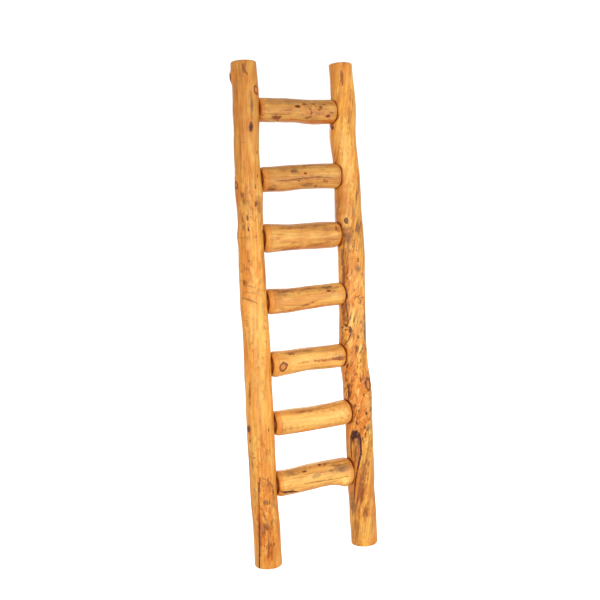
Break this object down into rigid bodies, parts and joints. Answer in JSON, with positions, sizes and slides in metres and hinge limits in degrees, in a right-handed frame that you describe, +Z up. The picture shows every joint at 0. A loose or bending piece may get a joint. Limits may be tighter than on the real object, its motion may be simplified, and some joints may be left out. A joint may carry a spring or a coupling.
{
  "type": "log quilt ladder",
  "caption": "Rustic leaning ladder of varnished peeled logs, with round rungs tenoned into two rails, for hanging quilts and blankets.",
  "frame": {"origin": "on the floor, midway between the axes of the two rails", "axes": "+Z up the rails from their square-cut feet, +X along the rungs, -Y out of the front, +Y towards the wall that it leans on"},
  "size_m": [0.5168, 0.1117, 1.846],
  "materials": {
    "left_rail_wood": "glossy amber varnish on peeled pine, light honey with brown knots and cambium streaks",
    "right_rail_wood": "glossy amber varnish on peeled pine, redder and heavily mottled with dark flecks",
    "rung_wood": "glossy amber varnish on peeled pine, grey-brown streaks on the upper side",
    "screw_steel": "yellow zinc plate"
  },
  "bodies": {
    "root": {"left_rail": "left_rail_wood", "right_rail": "right_rail_wood", "rung_1": "rung_wood", "rung_2": "rung_wood", "rung_3": "rung_wood", "rung_4": "rung_wood", "rung_5": "rung_wood", "rung_6": "rung_wood", "rung_7": "rung_wood", "left_screw_1": "screw_steel", "left_screw_2": "screw_steel", "left_screw_3": "screw_steel", "left_screw_4": "screw_steel", "left_screw_5": "screw_steel", "left_screw_6": "screw_steel", "left_screw_7": "screw_steel", "right_screw_1": "screw_steel", "right_screw_2": "screw_steel", "right_screw_3": "screw_steel", "right_screw_4": "screw_steel", "right_screw_5": "screw_steel", "right_screw_6": "screw_steel", "right_screw_7": "screw_steel"}
  },
  "joints": []
}
